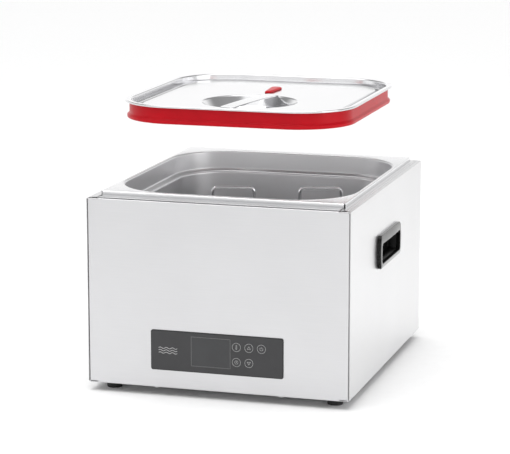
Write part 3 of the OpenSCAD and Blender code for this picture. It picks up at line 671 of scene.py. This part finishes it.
# ---------------------------------------------------------------- side handles
def make_handle(side):
    """Glossy bezel with bowed ends and a rolled-in opening, and the pocket behind it."""
    name = "right" if side > 0 else "left"
    low, high = span("handle_bezel_" + name)
    cup_low, cup_high = span("handle_cup_" + name)
    wall = 1.5 * mm
    cy = (low.y + high.y) / 2
    half_l = (high.y - low.y) / 2
    proud = max(abs(low.x), abs(high.x)) - side_x
    arch = 1.5 * mm
    bow = 5 * mm
    crown = 3.2 * mm
    flat = 0.8 * mm
    cz = (low.z + high.z) / 2
    half_h = (high.z - low.z) / 2
    hole_cz = (cup_low.z + cup_high.z) / 2
    hole_l = cup_high.y - cup_low.y - 2 * wall
    hole_h = cup_high.z - cup_low.z - 2 * wall
    depth = side_x - min(abs(cup_low.x), abs(cup_high.x))

    def at(out, y, z, bowed):
        height = (z - cz) / half_h
        sag = max(arch * ((y - cy) / half_l) ** 2, crown * height ** 2 - flat)
        if bowed:
            y = cy + (y - cy) * (1 - bow / half_l * height ** 2)
        return Vector((side * (side_x + max(0, out - sag * out / proud)), y, z))

    def outline(grow, size_l, size_h, radius, centre_z, out, bowed=False):
        ring = rounded_ring(size_l + 2 * grow, size_h + 2 * grow, radius + grow, 0, (cy, centre_z), 10,
                            10)
        return [at(out, p.x, p.y, bowed) for p in ring]

    soft = 1.3 * mm
    corner = 5 * mm
    rings = []
    for i in range(7):
        angle = math.radians(15 * i)
        rings.append(outline(-soft * (1 - math.cos(angle)), 2 * half_l, 2 * half_h, corner, cz,
                             proud - soft + soft * math.sin(angle), True))
    lip = 0.9 * mm
    for i in range(6):
        angle = math.radians(18 * i)
        rings.append(outline(lip * (1 - math.sin(angle)), hole_l, hole_h, 5.5 * mm, hole_cz,
                             proud - lip * (1 - math.cos(angle))))
    rings.insert(0, outline(0, 2 * half_l, 2 * half_h, corner, cz, 0.0, True))
    rings.append(outline(0, hole_l, hole_h, 5.5 * mm, hole_cz, 0.0))
    verts, faces = join_rings(rings + [rings[0]])
    bezel = finish_piece("handle_rim_" + name, verts, faces, "handle_gloss", "housing", 40)
    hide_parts("handle_bezel_" + name)

    pocket = []
    floor_r = 4 * mm
    levels = [(0, 0.0), (0.4 * mm, -depth + wall + floor_r)]
    for i in range(1, 6):
        angle = math.radians(18 * i)
        levels.append((0.4 * mm + floor_r * (1 - math.cos(angle)),
                       -depth + wall + floor_r * (1 - math.sin(angle))))
    for inset, out in levels:
        ring = rounded_ring(hole_l - 2 * inset, hole_h - 2 * inset, max(5.5 * mm - inset, 1 * mm), 0,
                            (cy, hole_cz), 10)
        pocket.append([Vector((side * (side_x + out), p.x, p.y)) for p in ring])
    verts, faces = join_rings(pocket, cap_last=True)
    cup = finish_piece("handle_pocket_" + name, verts, faces, "pocket_black", "housing", 40)
    apply_modifier(cup, "SOLIDIFY", thickness=1.2 * mm, offset=-1.0)
    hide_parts("handle_cup_" + name)


# ---------------------------------------------------------------- lid
def make_lid():
    """Pressed lid: flat rim, trough, raised panel with a round hand recess, strap, seal and plug."""
    rim_z = lid_high.z
    width = lid_high.x - lid_low.x
    depth = lid_high.y - lid_low.y
    radius = mouth_r - (mouth_w - width) / 2
    plane = rim_z - 3 * mm
    trough = rim_z - 13 * mm
    panel = rim_z - 7 * mm
    panel_in = 23.5 * mm
    rim_w = 8.4 * mm
    lean = 0.9 * mm
    skin = 0.9 * mm
    path = fillet(
        [(1.2 * mm, plane + 0.2 * mm), (0, plane + 0.2 * mm), (0, rim_z), (rim_w, rim_z),
         (rim_w + lean, trough), (panel_in - 0.8 * mm, trough), (panel_in, panel), (34 * mm, panel)],
        [0.4 * mm, 1.3 * mm, 2.2 * mm, 2.5 * mm, 2.5 * mm, 2.2 * mm], 5)
    rings = swept_rim(width, depth, radius, [(p[0], p[1]) for p in path], steps=16, straight=18)
    # The panel runs in from its last ring to the edge of the round recess.
    recess_y = (strap_low.y + strap_high.y) / 2
    recess_r = 68 * mm
    recess_drop = 17 * mm
    angles = [math.atan2(p.y - recess_y, p.x) for p in rings[-1]]
    recess_path = fillet(
        [(recess_r + 3 * mm, panel), (recess_r, panel), (recess_r - 9 * mm, panel - recess_drop),
         (recess_r - 30 * mm, panel - recess_drop)], [3 * mm, 4 * mm], 6)
    for r, z in [(p[0], p[1]) for p in recess_path]:
        rings.append([
            Vector((r * math.cos(angle), recess_y + r * math.sin(angle), z)) for angle in angles])
    verts, faces = join_rings(rings, cap_last=True)
    shell = finish_piece("lid_pressing", verts, faces, "lid_steel", "lid", 40)
    apply_modifier(shell, "SOLIDIFY", thickness=skin, offset=-1.0)
    # The slot under the plug goes right through.
    slot_half_w, slot_half_l = 4.5 * mm, 22 * mm
    slot_y = (plug_low.y + plug_high.y) / 2
    cut_box(shell, (-slot_half_w, slot_y - slot_half_l, panel - 6 * mm),
            (slot_half_w, slot_y + slot_half_l, panel + 4 * mm))
    flatten_shading(shell)
    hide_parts("lid_shell")
    make_strap(recess_y, panel)
    make_seal(width, radius, plane)
    make_plug(slot_y)


def make_strap(recess_y, panel):
    """A flat strap across the recess, gently bowed, with clipped welded ends."""
    half_w = 11 * mm
    half_l = 75 * mm
    span_l = 64 * mm
    clipped = 4 * mm
    chamfer = 0.35 * mm
    turn = math.radians(-10)
    lift = 0.9 * mm
    thick = 1.4 * mm
    steps = 24
    sections = []
    for i in range(steps + 1):
        t = -1 + 2 * i / steps
        along = t * half_l
        rise = max(0.0, lift * (1 - (along / span_l) ** 2))
        clip = max(0, abs(along) - (half_l - clipped))
        w = half_w - clip
        top = panel + thick + rise
        section = [(-w, top - thick), (-w, top - chamfer), (-w + chamfer, top),
                   (w - chamfer, top), (w, top - chamfer), (w, top - thick)]
        ring = []
        for across, z in section:
            x = across * math.cos(turn) - along * math.sin(turn)
            y = across * math.sin(turn) + along * math.cos(turn)
            ring.append(Vector((x, recess_y + y, z)))
        sections.append(ring)
    verts, faces = join_rings(sections, cap_first=True, cap_last=True)
    strap = finish_piece("hand_strap", verts, faces, "lid_steel", "lid", 40)
    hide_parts("lid_strap")


def make_seal(width, radius, plane):
    """Red silicone profile: a wall gripping the skirt and a flared lip below."""
    outer_w = seal_high.x - seal_low.x
    outer_d = seal_high.y - seal_low.y
    lip_in = (width - outer_w) / 2
    outer_r = radius - lip_in
    skirt_inset = 8 * mm
    wall_t = 2.5 * mm
    inner = skirt_inset - lip_in
    wall = inner - wall_t
    bottom = seal_low.z
    path = fillet(
        [(inner, plane), (wall, plane), (wall, bottom + 7 * mm), (0, bottom + 4.2 * mm),
         (0.4 * mm, bottom), (inner - 1.3 * mm, bottom), (inner, bottom + 3 * mm), (inner, plane)],
        [0.6 * mm, 3 * mm, 1.2 * mm, 1.2 * mm, 1.0 * mm, 1.0 * mm], 4)
    profile = [(p[0], p[1]) for p in path]
    rings = swept_rim(outer_w, outer_d, outer_r, profile, steps=16)
    verts, faces = join_rings(rings)
    seal = finish_piece("seal_profile", verts, faces, "red_silicone", "lid", 40)
    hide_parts("lid_seal")


def tapered_ring(length, big, small, inset, z, centre_y, steps=14):
    """Outline of two circles and the lines between them, the larger one at the rear."""
    rear = length / 2 - big
    front = small - length / 2
    lean = math.asin((big - small) / (rear - front))
    points = []
    for y, radius, start, end in ((rear, big, -lean, math.pi + lean),
                                  (front, small, math.pi + lean, 2 * math.pi - lean)):
        radius = max(radius - inset, 0.4 * mm)
        for i in range(steps + 1):
            angle = start + (end - start) * i / steps
            points.append(Vector((
                radius * math.cos(angle), centre_y + y + radius * math.sin(angle), z)))
    return points


def make_plug(slot_y):
    """Tapered silicone plug with a crowned top, over a stem that fills the vent slot."""
    length = plug_high.y - plug_low.y
    big = (plug_high.x - plug_low.x) / 2
    small = 4.85 * mm
    top = plug_high.z
    under = top - 3 * mm
    levels = [(0.5 * mm, under), (0.1 * mm, under + 0.3 * mm), (0, under + 0.8 * mm)]
    for i in range(1, 7):
        angle = math.radians(15 * i)
        levels.append((3.0 * mm * (1 - math.cos(angle)), under + 0.8 * mm + 2.2 * mm * math.sin(angle)))
    cap = join_rings([tapered_ring(length, big, small, inset, z, slot_y) for inset, z in levels],
                     cap_first=True, cap_last=True)
    stem_w, stem_l, stem_r, lead_in = 8.3 * mm, 43.3 * mm, 4.1 * mm, 0.8 * mm
    stem = []
    for inset, z in ((lead_in, plug_low.z), (0, plug_low.z + lead_in), (0, under)):
        stem.append(rounded_ring(stem_w - 2 * inset, stem_l - 2 * inset, stem_r - inset, z,
                                 (0, slot_y), 8))
    verts, faces = merge([cap, join_rings(stem, cap_first=True, cap_last=True)])
    plug = finish_piece("oval_plug", verts, faces, "red_silicone", "plug", 50)
    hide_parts("lid_plug")


# ---------------------------------------------------------------- CAD nodes that stay
def dress_cad_nodes():
    """Every carried-over node takes the material of its own slot."""
    slots = {row["node"]: row["material_slot"] for row in frame["record"]["subparts"]}
    for node, cad in frame["nodes"].items():
        name = slots[node]
        for index in range(len(cad.material_slots)):
            cad.material_slots[index].material = materials[name]


# ---------------------------------------------------------------- studio
def make_floor():
    mesh = bpy.data.meshes.new("floor")
    half = 6.0
    mesh.from_pydata([(-half, -half, 0), (half, -half, 0), (half, half, 0), (-half, half, 0)], [],
                     [(0, 1, 2, 3)])
    floor = bpy.data.objects.new("floor", mesh)
    material, tree, shader, place = node_material("floor_paper")
    tree.links.new(
        blend_colours(tree, noise(tree, place, 60.0), (0.93, 0.93, 0.93), (0.95, 0.95, 0.95)),
        shader.inputs["Base Color"])
    shader.inputs["Roughness"].default_value = 0.85
    shader.inputs["Specular IOR Level"].default_value = 0.1
    mesh.materials.append(material)
    scene.collection.objects.link(floor)


def area_light(name, place, aim, width, height, power):
    data = bpy.data.lights.new(name, "AREA")
    data.shape = "RECTANGLE"
    data.size = width
    data.size_y = height
    data.energy = power
    light = bpy.data.objects.new(name, data)
    light.location = place
    light.rotation_euler = (Vector(place) - Vector(aim)).to_track_quat("Z", "Y").to_euler()
    scene.collection.objects.link(light)


def make_studio():
    """Bright walls and floor with a darker band above, so that bent steel shows its form."""
    world = bpy.data.worlds.new("studio")
    world.use_nodes = True
    tree = world.node_tree
    direction = tree.nodes.new("ShaderNodeTexCoord")
    split = tree.nodes.new("ShaderNodeSeparateXYZ")
    tree.links.new(direction.outputs["Generated"], split.inputs[0])
    ramp = tree.nodes.new("ShaderNodeValToRGB")
    stops = ((0.0, 1.0), (0.22, 1.0), (0.42, 0.30), (0.72, 0.34), (0.92, 0.9))
    elements = ramp.color_ramp.elements
    while len(elements) < len(stops):
        elements.new(0.5)
    for element, (position, level) in zip(elements, stops):
        element.position = position
        element.color = (level, level, level, 1)
    tree.links.new(split.outputs["Z"], ramp.inputs["Fac"])
    tree.links.new(ramp.outputs["Color"], tree.nodes["Background"].inputs["Color"])
    tree.nodes["Background"].inputs["Strength"].default_value = 1.2
    scene.world = world
    area_light("top_softbox", (-0.3, -0.2, 2.4), (0, 0, 0.2), 2.2, 2.2, 16)
    area_light("right_softbox", (2.4, -0.6, 1.0), (0, 0, 0.2), 1.6, 1.6, 12)
    sun = bpy.data.lights.new("broad_light", "SUN")
    sun.energy = 1.1
    sun.angle = math.radians(80)
    holder = bpy.data.objects.new("broad_light", sun)
    holder.rotation_euler = (math.radians(12), math.radians(-8), 0)
    scene.collection.objects.link(holder)
    scene.view_settings.view_transform = "Standard"


make_camera()
make_floor()
make_studio()
dress_cad_nodes()
make_housing()
make_deck()
make_bath()
make_panel()
make_handle(1)
make_handle(-1)
make_lid()
